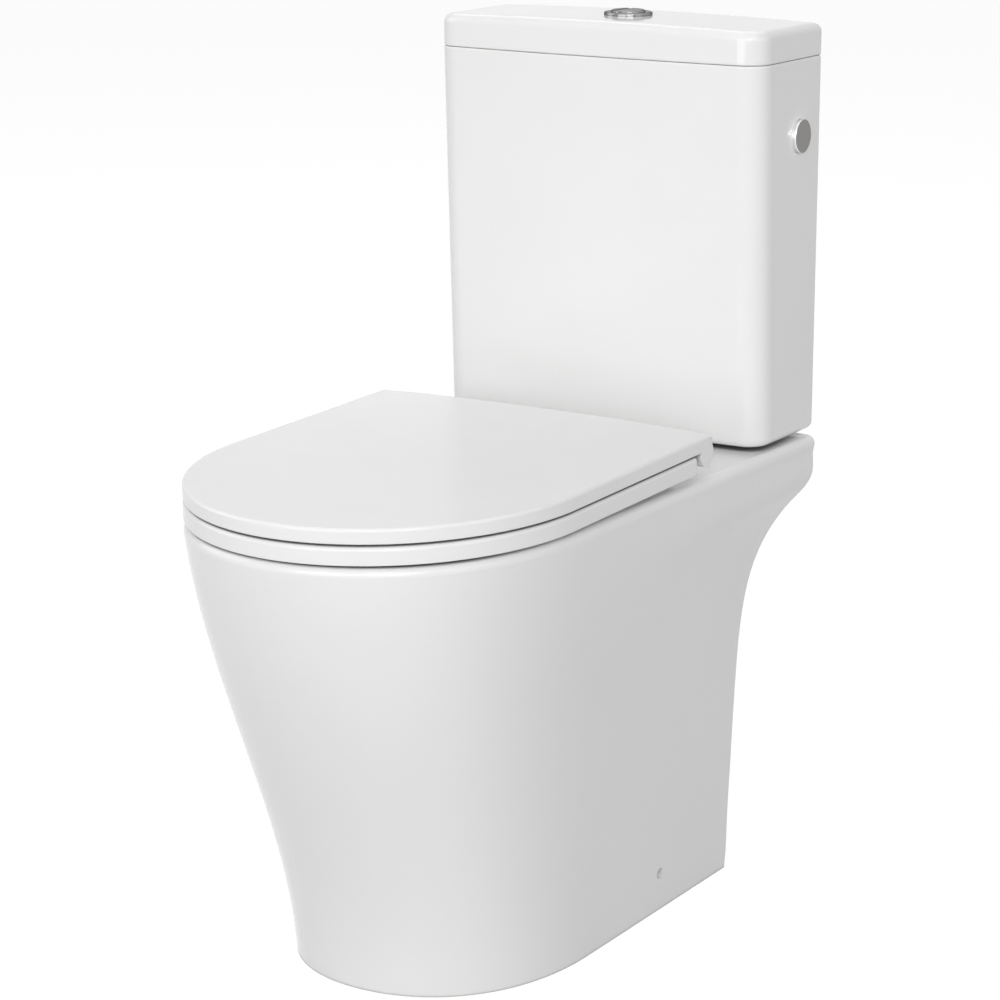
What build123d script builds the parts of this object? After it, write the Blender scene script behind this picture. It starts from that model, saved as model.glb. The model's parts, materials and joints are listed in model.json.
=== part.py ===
"""Close coupled toilet: ceramic pan, cistern with a dual flush, and a soft-close seat.

Millimetres, +Z up, +Y towards the wall behind, +X to the right as seen from the front.
The origin is on the floor, in the middle of the foot of the web that carries the soil outlet.
"""

import os
from math import cos, pi, radians, sin, sqrt

from build123d import *

# Overall sizes and places
WALL_Y = 190.0  # from the origin to the wall that the cistern backs on
OVERALL_DEPTH = 651.0  # wall to the front of the seat
SEAT_WIDTH = 360.0
RIM_Z = 425.0  # top of the pan
CERAMIC_WALL = 11.0
SEAT_CLEARANCE = 0.3  # between pieces that rest on each other but move apart
RUN_CLEARANCE = 0.05  # radial, between a pin and what turns on it
FIT_CLEARANCE = 0.02  # radial, between a pin and what grips it

# Pan: the foot on the floor, and the rim and shelf at the top
FOOT_WIDTH = 272.2
FOOT_REAR_Y = WALL_Y - 86.3
FOOT_SETBACK = 127.2  # foot's front behind the rim's front
FOOT_NOSE = 170.0  # length of the foot's round front
FOOT_CORNER_R = 3.0
RIM_NOSE = 224.0
RIM_EDGE_R = 8.0
RIM_LIP = 8.0  # overhang of the rim inside the bowl
RIM_LIP_R = 5.0
SHELF_WIDTH = 366.5
SHELF_CORNER_R = 12.0
SHELF_SETBACK = 1.0  # rear edge of the shelf in front of the wall
SHELF_EDGE = 45.0  # upright edge round the rear of the shelf
DECK = 12.0  # thickness of the shelf and rim
PAN_STEPS = 6  # sections below the shelf's flare
FLARE_STEPS = 10  # and in it
FLARE_Z = 300.0  # where the sections start to crowd
SIDE_EASE = (0.10, 0.75)  # how the sides swell out at the foot and at the rim, 1 being evenly
NOSE_EASE = (0.35, 0.40)  # the same for the lean of the nose
NOSE_FULL = (0.565, 0.64)  # how full the round front is, at its middle and at the sides
SIDE_TURN = (0.55, 0.48)  # how straight the sides run before they draw in, and after
REAR_SPLAY = 0.30  # how far they still draw in at the rear edge
FLARE_LEAN = 0.178  # lean of the rear edge below the shelf's flare
FLARE_POWER = 8.1  # how late the shelf flares out
FLARE_SOFT = 0.10  # how softly the flare turns into the shelf's upright edge

# Bowl, trap and soil outlet
BOWL_SIDE_BAND = 42.0  # width of the rim beside the bowl
BOWL_FRONT_BAND = 41.0
BOWL_REAR_Y = WALL_Y - 262.0
SUMP_Z = 75.0
SUMP_Y = WALL_Y - 400.0
SUMP_R = 24.0
BOWL_STEPS = 6
TRAP_BORE_R = 30.0
TRAP_BEND = 4.0  # least radius inside the trap's bends
TRAP_SUMP = (WALL_Y - 405.0, 110.0)
TRAP_DIP = (WALL_Y - 315.0, 88.0)
TRAP_WEIR = (WALL_Y - 250.0, 224.0)
OUTLET_Z = 180.0
OUTLET_LEVEL_Y = 0.0  # where the passage levels out
SPIGOT_R = 51.0
SPIGOT_BORE_R = 41.0
SPIGOT_END_Y = 80.0
WEB = 12.0
WEB_TOP_Z = 250.0
BACK_OPENING_WIDTH = 210.0
BACK_OPENING_DROP = 95.0  # top of the back opening below the rim
BACK_OPENING_R = 60.0
FIXING_Z = 37.0
FIXING_Y = WALL_Y - 220.0
FIXING_R = 5.25

# Flush inlet on the shelf
VALVE_Y = WALL_Y - 58.0  # flush valve, button and inlet share this line
WELL_PLAY = 1.0
WELL_DEPTH = 26.0
INLET_R = 26.0
INLET_WALL = 9.0
DUCT_R = 24.0
DUCT_DROP = 66.0  # duct's centre line below the rim
DUCT_BEND = 3.0  # least radius inside the duct's bend
DUCT_END_Y = WALL_Y - 275.0

# Cistern and its lid
CISTERN_WIDTH = 351.0
CISTERN_HEIGHT = 359.0
CISTERN_DEPTH_LOW = 108.0  # wall to the front corners, at the bottom
CISTERN_DEPTH_HIGH = 123.8  # the same at the top
CISTERN_BOW = 5.65  # how far the front swells beyond its corners
CISTERN_CORNER_R = 24.6
CISTERN_BACK_R = 2.0
CISTERN_FOOT_R = 8.0
CISTERN_LIP_R = 2.0
CISTERN_WALL = 10.0
CISTERN_FLOOR = 12.0
COUPLING_GAP = 4.0  # between the shelf and the cistern, filled by the doughnut
LID_HEIGHT = 33.0  # at the middle of its crowned top
LID_CROWN_R = 5200.0
LID_EDGE_R = 8.0
LID_SKIN = 12.0
LID_LIP = 5.0
LID_LIP_DEPTH = 8.0
LID_LIP_PLAY = 2.0
SIDE_HOLE_DROP = 71.0  # side holes below the cistern's top
SIDE_HOLE_Y = WALL_Y - 43.0
SIDE_HOLE_R = 11.5

# Seat and its hinges, drawn about the hinge axis
HINGE_Y = WALL_Y - 219.5
HINGE_Z = RIM_Z + 24.0
HINGE_R = 11.7
SEAT_FRONT_GAP = 1.1  # ring above the rim at the front; the seat falls gently towards it
SEAT_FRONT = WALL_Y - OVERALL_DEPTH - HINGE_Y
SEAT_NOSE = 199.6
COVER_UNDER = 3.7  # underside of the cover above the hinge axis
COVER_THICK = 12.9
COVER_SKIN = 5.0
COVER_SKIRT = 6.0
COVER_REAR = 7.9
COVER_BOW = 13.4  # how far the rear edge swells beyond its corners
COVER_BOW_REACH = 60.0  # from each corner to where that swell is nearly full
COVER_CORNER_R = 3.0
COVER_SOLID = 19.0  # solid rear of the cover in front of the hinge axis
COVER_EDGE_R = 2.5
COVER_BOSS_R = 9.0
RING_UNDER = -14.6
RING_THICK = 16.1
RING_REAR = -13.4
RING_CORNER_R = 8.0
RING_EDGE_R = 4.0
RING_SIDE_BAND = 68.0
RING_FRONT_BAND = 59.5
RING_REAR_BAND = 74.6
RING_HOLE_REAR = 127.0  # from the hole's widest line to its rear
RING_HOLE_EDGE_R = 6.0
FIXING_SPACING = 155.0  # between the two hinge posts
POST_WIDTH = 16.0
POST_FOOT_R = 15.0
POST_FOOT = 7.0
POST_FOOT_FORWARD = 15.0  # foot's centre in front of the hinge axis
POST_STEM_REAR = -1.5
KNUCKLE_GAP = 1.0  # end play between hinge barrels
KNUCKLE_LENGTH = 29.0
PIVOT_R = 4.0
PIVOT_GRIP = 7.5  # length of a pivot held in its post
PIN_REACH = 38.0  # length of a hinge pin beyond its post
DAMPER_R = 8.5
DAMPER_LENGTH = 48.0
SEAT_DAMPER_LENGTH = 26.0
BARREL_CLEARANCE = 0.7
STUD_R = 3.9
STUD_GRIP = 6.0
STUD_DROP = 50.0
STUD_HOLE_PLAY = 3.1
WASHER = 3.0
STUD_WASHER_R = 14.0
STUD_NUT_R = 11.0
STUD_NUT = 12.0
SEAT_BUFFER_LENGTH = 24.0
SEAT_BUFFER_WIDTH = 12.0
REAR_BUFFER_Y = -165.0
COVER_PAD_Y = -120.0
COVER_PAD_R = 6.0
FRONT_BUFFER_ANGLE = 56.0  # round the nose of the seat, from its widest line

# Push buttons in the lid
BEZEL_FLANGE = 4.2  # bezel beyond its sleeve
BEZEL_RIM = 3.0
SLEEVE_R = 18.8
SLEEVE_WALL = 2.0
SLEEVE_DROP = 28.0
SLEEVE_FLOOR = 2.0
BUTTON_PLAY = 0.2
BUTTON_HEIGHT = 14.0
BUTTON_RAISE = 5.0  # button tops above the lid
BUTTON_EDGE_R = 2.5
BUTTON_SPLIT_X = -5.5
BUTTON_SLIT = 0.6
FULL_ROD_X = 5.5
HALF_ROD_X = -10.6
ROD_R = 2.5
ROD_PLAY = 0.3
ROD_DEPTH = 12.0  # rod end inside the actuator head
BUTTON_NUT_WALL = 7.2
BUTTON_NUT = 8.0

# Flush valve
TAIL_R = 29.0
TAIL_WALL = 4.0
TAIL_END_Z = RIM_Z - 22.0
TAIL_PLAY = 2.0
VALVE_FLANGE_LEDGE = 9.0  # flange beyond the tail
VALVE_FLANGE = 4.0
VALVE_BASE_LEDGE = 7.0
VALVE_WALL = 3.0
VALVE_BASE = 76.0
VALVE_SEAT = 14.0
VALVE_WINDOW = 26.0
VALVE_WINDOWS = 4
TOWER_R = 30.0
TOWER_RING = 8.0
HEAD_Z_DROP = 48.0  # actuator head's top below the cistern's top
HEAD_WIDTH = 66.0
HEAD_DEPTH = 46.0
HEAD_HEIGHT = 25.0
HEAD_FLOOR = 3.0
HEAD_CORNER_R = 12.0
OVERFLOW_R = 13.0
OVERFLOW_WALL = 2.0
OVERFLOW_CLEAR = 25.0  # overflow tube's mouth below the head
SEAL_LAP = 4.0  # seal beyond the tail's bore
SEAL = 4.0
BACKNUT_WALL = 7.5
BACKNUT = 12.0
DOUGHNUT_WALL = 6.5
DOUGHNUT_TOE = 10.0
DOUGHNUT_PLAY = 1.0

# Bolts that hold the cistern to the shelf
COUPLING_X = 85.0
BOLT_R = 3.9
BOLT_HOLE_PLAY = 1.6
BOLT_HEAD_R = 9.0
BOLT_HEAD = 5.0
BOLT_SEAL = 6.0
BOLT_DROP = 20.0  # shank below the shelf's underside
BOLT_WASHER_R = 13.0
BOLT_WASHER = 2.0
WING_NUT_R = 8.0
WING_NUT = 9.0
WING_SPAN = 34.0
WING = 3.0

# Fill valve in the left side hole, and the cap in the right one
INLET_SHANK_PLAY = 0.6
INLET_TAIL_PLAY = 1.1
INLET_TAIL = 33.0  # threaded tail outside the cistern
FILL_FLANGE_R = 18.0
FILL_FLANGE = 3.5
FILL_SEAL = 3.0
FILL_NUT_R = 17.0
FILL_NUT = 9.0
FILL_BODY_R = 12.0
FILL_BODY = 38.0
INLET_BORE_R = 6.5
FILL_PORT_R = 8.0
FILL_PORT = 4.0
FILL_TUBE_R = 6.0
FILL_TUBE_WALL = 1.0
FILL_TUBE_END = 26.0  # tube's foot above the cistern floor
ARM_STANDOFF = 7.0
ARM_LENGTH = 38.0
ARM_WIDTH = 13.0
ARM_LUG = 6.0
ARM_DEPTH = 6.0
ARM_EAR = 5.0
ARM_SLOT_PLAY = 1.0
ARM_PIN_R = 2.0
ARM_PIN_PROUD = 1.0
FLOAT_R = 20.0
FLOAT_HEIGHT = 35.0
FLOAT_WALL = 2.0
CAP_LEDGE = 4.5  # cap beyond its hole
CAP = 5.0
CAP_EDGE_R = 1.5
CAP_PLAY = 0.4
CAP_NUT_WALL = 5.9
CAP_NUT = 7.0

# Places that follow from the sizes above
RIM_FRONT_Y = WALL_Y - OVERALL_DEPTH
FOOT_FRONT_Y = RIM_FRONT_Y + FOOT_SETBACK
BOWL_HALF_WIDTH = SEAT_WIDTH / 2 - BOWL_SIDE_BAND
BOWL_HALF_LENGTH = (BOWL_REAR_Y - RIM_FRONT_Y - BOWL_FRONT_BAND) / 2
BOWL_Y = BOWL_REAR_Y - BOWL_HALF_LENGTH
TRAP_BEND_R = TRAP_BORE_R + CERAMIC_WALL + TRAP_BEND
BACK_OPENING_Z = RIM_Z - BACK_OPENING_DROP
DUCT_Z = RIM_Z - DUCT_DROP
DUCT_BEND_R = DUCT_R + INLET_WALL + DUCT_BEND
BAND_Z = RIM_Z - SHELF_EDGE
DECK_UNDER_Z = RIM_Z - DECK
WELL_Z = RIM_Z - WELL_DEPTH
CISTERN_Z = RIM_Z + COUPLING_GAP
CISTERN_TOP_Z = CISTERN_Z + CISTERN_HEIGHT
FLOOR_Z = CISTERN_Z + CISTERN_FLOOR
LID_TOP_Z = CISTERN_TOP_Z + LID_HEIGHT
SKIN_UNDER_Z = LID_TOP_Z - LID_SKIN
CROWN_HALF = CISTERN_WIDTH  # the crown is drawn wider than the lid, and trims it
CROWN_Z = LID_TOP_Z - LID_CROWN_R + sqrt(LID_CROWN_R**2 - CROWN_HALF**2)
SIDE_HOLE_Z = CISTERN_TOP_Z - SIDE_HOLE_DROP
SIDE_X = CISTERN_WIDTH / 2
POST_X = FIXING_SPACING / 2
POST_INNER_X = POST_X - POST_WIDTH / 2
POST_OUTER_X = POST_X + POST_WIDTH / 2
STUD_Y = HINGE_Y - POST_FOOT_FORWARD
KNUCKLE_X = POST_INNER_X - KNUCKLE_GAP - KNUCKLE_LENGTH
STUD_PLACES = ((POST_X, STUD_Y), (-POST_X, STUD_Y))
STUD_HOLE_R = STUD_R + STUD_HOLE_PLAY
BOLT_PLACES = ((COUPLING_X, VALVE_Y), (-COUPLING_X, VALVE_Y))
BOLT_HOLE_R = BOLT_R + BOLT_HOLE_PLAY
SEAT_WAIST = SEAT_FRONT + SEAT_NOSE  # the seat's widest line, where its nose begins
RING_HOLE_HALF_WIDTH = SEAT_WIDTH / 2 - RING_SIDE_BAND
RING_HOLE_Y = RING_REAR - RING_REAR_BAND - RING_HOLE_REAR
RING_HOLE_FRONT = RING_HOLE_Y - SEAT_FRONT - RING_FRONT_BAND
BAND_X = SEAT_WIDTH / 2 - RING_SIDE_BAND / 2
BEZEL_R = SLEEVE_R + BEZEL_FLANGE
BUTTON_NUT_R = SLEEVE_R + BUTTON_NUT_WALL
BUTTON_BORE_R = SLEEVE_R - SLEEVE_WALL
BUTTON_R = BUTTON_BORE_R - BUTTON_PLAY
BUTTON_Z = LID_TOP_Z + BUTTON_RAISE - BUTTON_HEIGHT
SLEEVE_Z = LID_TOP_Z - SLEEVE_DROP
HEAD_Z = CISTERN_TOP_Z - HEAD_Z_DROP - HEAD_HEIGHT
ROD_END_Z = HEAD_Z + HEAD_HEIGHT - ROD_DEPTH
TAIL_BORE_R = TAIL_R - TAIL_WALL
VALVE_FLANGE_R = TAIL_R + VALVE_FLANGE_LEDGE
VALVE_BASE_R = TAIL_R + VALVE_BASE_LEDGE
SEAL_R = TAIL_BORE_R + SEAL_LAP
BACKNUT_R = TAIL_R + BACKNUT_WALL
DOUGHNUT_R = BACKNUT_R + DOUGHNUT_PLAY + DOUGHNUT_WALL
DOUGHNUT_TOE_R = TAIL_R + DOUGHNUT_PLAY + DOUGHNUT_TOE
WELL_R = DOUGHNUT_R + WELL_PLAY
VALVE_FLANGE_Z = FLOOR_Z + WASHER
VALVE_SEAT_Z = VALVE_FLANGE_Z + VALVE_SEAT
TOWER_Z = VALVE_FLANGE_Z + VALVE_BASE
SEAL_Z = VALVE_SEAT_Z + SEAT_CLEARANCE
OVERFLOW_BORE_R = OVERFLOW_R - OVERFLOW_WALL
SIDE_INNER_X = SIDE_X - CISTERN_WALL
INLET_SHANK_R = SIDE_HOLE_R - INLET_SHANK_PLAY  # under the nut and through the wall
INLET_TAIL_R = SIDE_HOLE_R - INLET_TAIL_PLAY  # beyond the nut, for the supply hose
CAP_R = SIDE_HOLE_R + CAP_LEDGE
CAP_STEM_R = SIDE_HOLE_R - CAP_PLAY
CAP_NUT_R = CAP_STEM_R + CAP_NUT_WALL
FILL_FLANGE_X = FILL_SEAL - SIDE_INNER_X
FILL_TUBE_X = FILL_FLANGE_X + FILL_BODY / 2
FILL_TUBE_Z = SIDE_HOLE_Z - FILL_BODY_R - FILL_PORT
ARM_X = FILL_FLANGE_X + FILL_BODY + ARM_STANDOFF
TILT_SIN = (HINGE_Z + RING_UNDER - RIM_Z - SEAT_FRONT_GAP) / -SEAT_FRONT
TILT_COS = sqrt(1 - TILT_SIN**2)
SEAT_PLANE = Plane((0, HINGE_Y, HINGE_Z), x_dir=(1, 0, 0), z_dir=(0, -TILT_SIN, TILT_COS))
SEAT_UP = Axis(SEAT_PLANE.origin, SEAT_PLANE.z_dir)
SEAT_SIDE = Plane((0, HINGE_Y, HINGE_Z), x_dir=(0, TILT_COS, TILT_SIN), z_dir=(1, 0, 0))
HINGE_AXIS = Plane((0, HINGE_Y, HINGE_Z), x_dir=(0, 1, 0), z_dir=(1, 0, 0))
SIDE_AXIS = Plane((0, SIDE_HOLE_Y, SIDE_HOLE_Z), x_dir=(0, 1, 0), z_dir=(1, 0, 0))
TAIL_END = SIDE_AXIS.offset(-SIDE_X - INLET_TAIL)
VALVE_PLANE = Plane((0, VALVE_Y, 0))
FRONT_PLANE = Plane((0, VALVE_Y, 0), x_dir=(1, 0, 0), z_dir=(0, -1, 0))
BACK_PLANE = Plane((0, WEB / 2, 0), x_dir=(1, 0, 0), z_dir=(0, -1, 0))
SPIGOT_PLANE = Plane((0, 0, OUTLET_Z), x_dir=(1, 0, 0), z_dir=(0, 1, 0))
POST_SIDE = HINGE_AXIS.offset(POST_INNER_X)
ARM_PLANE = Plane((ARM_X, SIDE_HOLE_Y, SIDE_HOLE_Z), x_dir=(1, 0, 0), z_dir=(0, -1, 0))
UPRIGHT = (Align.CENTER, Align.CENTER, Align.MIN)
THROUGH = 3  # length of a drilled hole, in wall thicknesses


def between(low, high, share):
    """Value that lies the given share of the way from low to high."""
    return low + (high - low) * share


def steps(low, high, count):
    """Heights that divide low to high into count equal steps."""
    return [between(low, high, i / count) for i in range(count + 1)]


def ease(share, start, end):
    """Course from 0 to 1 with a given slope at each end."""
    return share * (1 - share) ** 2 * start + share**2 * (3 - 2 * share) - share**2 * (1 - share) * end


def pan_heights(top):
    """Heights of the pan's sections from the floor to the top, closer in the shelf's flare."""
    return steps(0, FLARE_Z, PAN_STEPS)[:-1] + steps(FLARE_Z, top, FLARE_STEPS)


def pan_outline(z, inset=0.0):
    """D-shaped outline of the pan at height z, moved inwards by inset.

    The sides swell and the nose leans out all the way up to the rim. Behind the bowl the sides draw
    in, and the rear corners flare late and sharply to carry the shelf, whose edge then stands upright.
    """
    share = z / RIM_Z
    swell = ease(share, *SIDE_EASE)
    rise = z / BAND_Z
    short = 1 - FLARE_LEAN * rise - (1 - FLARE_LEAN) * rise**FLARE_POWER
    flare = 1 - (short + sqrt(short**2 + FLARE_SOFT**2)) / 2
    half = between(FOOT_WIDTH / 2, SEAT_WIDTH / 2, swell) - inset
    front = between(FOOT_FRONT_Y, RIM_FRONT_Y, ease(share, *NOSE_EASE)) + inset
    nose = between(FOOT_NOSE, RIM_NOSE, swell) - inset
    rear_half = between(FOOT_WIDTH / 2, SHELF_WIDTH / 2, flare) - inset
    rear = between(FOOT_REAR_Y, WALL_Y - SHELF_SETBACK, flare) - inset
    waist = front + nose
    length = rear - waist
    with BuildSketch(Plane.XY.offset(z)) as outline:
        with BuildLine():
            Line((-rear_half, rear), (rear_half, rear))
            for side in (-1, 1):
                Bezier(
                    (0, front),
                    (side * half * NOSE_FULL[0], front),
                    (side * half, waist - nose * NOSE_FULL[1]),
                    (side * half, waist),
                )
                Bezier(
                    (side * half, waist),
                    (side * half, waist + length * SIDE_TURN[0]),
                    (side * between(rear_half, half, REAR_SPLAY), rear - length * SIDE_TURN[1]),
                    (side * rear_half, rear),
                )
        make_face()
        corner_r = between(FOOT_CORNER_R, SHELF_CORNER_R, flare)
        fillet(outline.vertices().group_by(Axis.Y)[-1], corner_r)
    return outline.sketch


def bowl_outline(z, grow=0.0):
    """Oval of the bowl at height z, grown outwards by grow."""
    share = (z - SUMP_Z) / (RIM_Z - SUMP_Z)
    swell = sin(pi / 2 * share)
    half_width = between(SUMP_R, BOWL_HALF_WIDTH, swell) + grow
    half_length = between(SUMP_R, BOWL_HALF_LENGTH, swell) + grow
    with BuildSketch(Plane((0, between(SUMP_Y, BOWL_Y, share), z))) as outline:
        Ellipse(half_width, half_length)
    return outline.sketch


def cistern_outline(z, depth, inset=0.0):
    """Outline of the cistern at height z: flat back, bowed front and rounded corners."""
    half = CISTERN_WIDTH / 2 - inset
    front = WALL_Y - depth + inset
    back = WALL_Y - max(inset, 0)
    with BuildSketch(Plane.XY.offset(z)) as outline:
        with BuildLine():
            Polyline((-half, front), (-half, back), (half, back), (half, front))
            ThreePointArc((-half, front), (0, front - CISTERN_BOW), (half, front))
        make_face()
        fillet(outline.vertices().group_by(Axis.Y)[0], CISTERN_CORNER_R - inset)
        fillet(outline.vertices().group_by(Axis.Y)[-1], CISTERN_BACK_R)
    return outline.sketch


def cistern_depth(z):
    """Depth of the cistern's corners at height z, from its drafted front."""
    return between(CISTERN_DEPTH_LOW, CISTERN_DEPTH_HIGH, (z - CISTERN_Z) / CISTERN_HEIGHT)


def lid_inside(inset):
    """Outline of the lid's lip, which drops inside the cistern with some play."""
    inset = CISTERN_WALL + LID_LIP_PLAY + inset
    return cistern_outline(CISTERN_TOP_Z - LID_LIP_DEPTH, CISTERN_DEPTH_HIGH, inset)


def seat_outline(height, rear, corner_r, bow=0.0, inset=0.0):
    """D-shaped outline of the seat at a height above the hinge axis, in the seat's own plane."""
    half = SEAT_WIDTH / 2 - inset
    crest = rear + bow * 4 / 3  # a cubic curve swells by three quarters of its handles
    with BuildSketch(SEAT_PLANE.offset(height)) as outline:
        with BuildLine():
            EllipticalCenterArc((0, SEAT_WAIST), half, SEAT_NOSE - inset, start_angle=180, arc_size=180)
            Line((-half, SEAT_WAIST), (-half, rear))
            Line((half, SEAT_WAIST), (half, rear))
            if bow:
                Bezier(
                    (-half, rear),
                    (COVER_BOW_REACH - half, crest),
                    (half - COVER_BOW_REACH, crest),
                    (half, rear),
                )
            else:
                Line((-half, rear), (half, rear))
        make_face()
        fillet(outline.vertices().group_by(Axis.Y)[-1], corner_r)
    return outline.sketch


def band_places(rear_y):
    """Four places on the seat ring's band: a rear pair at rear_y and a pair round the nose."""
    angle = radians(FRONT_BUFFER_ANGLE)
    front_x = BAND_X * cos(angle)
    outer_y = SEAT_WAIST - SEAT_NOSE * sin(angle)
    inner_y = RING_HOLE_Y - RING_HOLE_FRONT * sin(angle)
    front_y = (outer_y + inner_y) / 2
    return [(side * x, y) for x, y in ((BAND_X, rear_y), (front_x, front_y)) for side in (-1, 1)]


def button_outline(side):
    """D-shaped outline of the full (+1) or half (-1) flush button, either side of the slit."""
    with BuildSketch(VALVE_PLANE.offset(BUTTON_Z)) as outline:
        Circle(BUTTON_R)
        with Locations((BUTTON_SPLIT_X + side * (BUTTON_SLIT / 2 + BUTTON_R), 0)):
            Rectangle(2 * BUTTON_R, 2 * BUTTON_R, mode=Mode.INTERSECT)
    return outline.sketch


def disc(plane, radius, bore=0.0):
    """Round sketch on a plane, with an optional hole in the middle."""
    with BuildSketch(plane) as outline:
        Circle(radius)
        if bore:
            Circle(bore, mode=Mode.SUBTRACT)
    return outline.sketch


def save(piece, name):
    """Label a finished piece and write its file."""
    piece.part.label = name
    export_step(piece.part, f"parts/{name}.step")


os.makedirs("parts", exist_ok=True)

# Forms that the pieces of the pan share
with BuildPart() as pan_hollow:
    loft([pan_outline(z, CERAMIC_WALL) for z in pan_heights(DECK_UNDER_Z)])

with BuildPart() as bowl_form:
    loft([bowl_outline(z, CERAMIC_WALL) for z in steps(SUMP_Z, DECK_UNDER_Z, BOWL_STEPS)])
    extrude(bowl_outline(SUMP_Z, CERAMIC_WALL), amount=-CERAMIC_WALL)

with BuildPart() as trap_passage:
    with BuildLine(Plane.YZ) as trap_path:
        FilletPolyline(
            TRAP_SUMP,
            TRAP_DIP,
            TRAP_WEIR,
            (OUTLET_LEVEL_Y, OUTLET_Z),
            (OUTLET_LEVEL_Y + TRAP_BEND_R, OUTLET_Z),
            radius=TRAP_BEND_R,
        )
    with BuildSketch(Plane(trap_path.line @ 0, z_dir=trap_path.line % 0)):
        Circle(TRAP_BORE_R)
    sweep()

with BuildPart() as trap_form:
    with BuildSketch(Plane(trap_path.line @ 0, z_dir=trap_path.line % 0)):
        Circle(TRAP_BORE_R + CERAMIC_WALL)
    sweep(path=trap_path.line)
    extrude(disc(SPIGOT_PLANE.offset(WEB / 2), SPIGOT_R), amount=SPIGOT_END_Y - WEB / 2)

with BuildPart() as duct_passage:
    with BuildLine(Plane.YZ) as duct_path:
        FilletPolyline((VALVE_Y, WELL_Z), (VALVE_Y, DUCT_Z), (DUCT_END_Y, DUCT_Z), radius=DUCT_BEND_R)
    with BuildSketch(Plane((0, VALVE_Y, WELL_Z), z_dir=(0, 0, -1))):
        Circle(DUCT_R)
    sweep()

with BuildPart() as rear_web:
    Box(SEAT_WIDTH, WEB, WEB_TOP_Z, align=UPRIGHT)
    add(pan_hollow.part, mode=Mode.INTERSECT)
    add(trap_form.part, mode=Mode.SUBTRACT)

# Pan: the skirt with its rim, shelf and rear web, then what is stuck inside it before firing
with BuildPart() as pan:
    loft([pan_outline(z) for z in pan_heights(RIM_Z)])
    fillet(pan.faces().sort_by(Axis.Z)[-1].edges(), RIM_EDGE_R)
    add(pan_hollow.part, mode=Mode.SUBTRACT)
    extrude(bowl_outline(RIM_Z, -RIM_LIP), amount=-DECK, mode=Mode.SUBTRACT)
    fillet(pan.faces().sort_by(Axis.Z)[-1].inner_wires()[0].edges(), RIM_LIP_R)
    # Opening at the back, for the soil pipe and for reaching the fixings
    with BuildSketch(BACK_PLANE) as back_opening:
        with Locations((0, BACK_OPENING_Z / 2)):
            Rectangle(BACK_OPENING_WIDTH, BACK_OPENING_Z)
        fillet(back_opening.vertices().group_by(Axis.Y)[-1], BACK_OPENING_R)
    extrude(amount=-WALL_Y, mode=Mode.SUBTRACT)
    add(rear_web.part)
    extrude(disc(VALVE_PLANE.offset(RIM_Z), WELL_R), amount=-DECK, mode=Mode.SUBTRACT)
    # Holes for the coupling bolts, the seat studs and the floor fixings
    with BuildSketch(Plane.XY.offset(RIM_Z)):
        with Locations(*BOLT_PLACES):
            Circle(BOLT_HOLE_R)
        with Locations(*STUD_PLACES):
            Circle(STUD_HOLE_R)
    extrude(amount=-THROUGH * DECK / 2, mode=Mode.SUBTRACT)
    with Locations((0, FIXING_Y, FIXING_Z)):
        Cylinder(FIXING_R, SEAT_WIDTH, rotation=(0, 90, 0), mode=Mode.SUBTRACT)
save(pan, "pan")

with BuildPart() as pan_bowl:
    add(bowl_form.part)
    loft([bowl_outline(z) for z in steps(SUMP_Z, DECK_UNDER_Z, BOWL_STEPS)], mode=Mode.SUBTRACT)
    add(trap_passage.part, mode=Mode.SUBTRACT)
    add(duct_passage.part, mode=Mode.SUBTRACT)
save(pan_bowl, "pan_bowl")

with BuildPart() as pan_trap:
    add(trap_form.part)
    add(bowl_form.part, mode=Mode.SUBTRACT)
    add(trap_passage.part, mode=Mode.SUBTRACT)
    loft(
        [
            disc(SPIGOT_PLANE.offset(OUTLET_LEVEL_Y), TRAP_BORE_R),
            disc(SPIGOT_PLANE.offset(SPIGOT_END_Y), SPIGOT_BORE_R),
        ],
        mode=Mode.SUBTRACT,
    )
save(pan_trap, "pan_trap")

with BuildPart() as flush_duct:
    with BuildSketch(Plane((0, VALVE_Y, WELL_Z), z_dir=(0, 0, -1))):
        Circle(DUCT_R + INLET_WALL)
    sweep(path=duct_path.line)
    well = disc(VALVE_PLANE.offset(WELL_Z - INLET_WALL), WELL_R + INLET_WALL)
    extrude(well, amount=DECK_UNDER_Z - WELL_Z + INLET_WALL)
    add(pan_hollow.part, mode=Mode.INTERSECT)
    add(bowl_form.part, mode=Mode.SUBTRACT)
    add(duct_passage.part, mode=Mode.SUBTRACT)
    extrude(disc(VALVE_PLANE.offset(WELL_Z), WELL_R), amount=WELL_DEPTH, mode=Mode.SUBTRACT)
    extrude(disc(VALVE_PLANE.offset(WELL_Z), INLET_R), amount=-INLET_WALL, mode=Mode.SUBTRACT)
save(flush_duct, "flush_duct")

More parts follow.
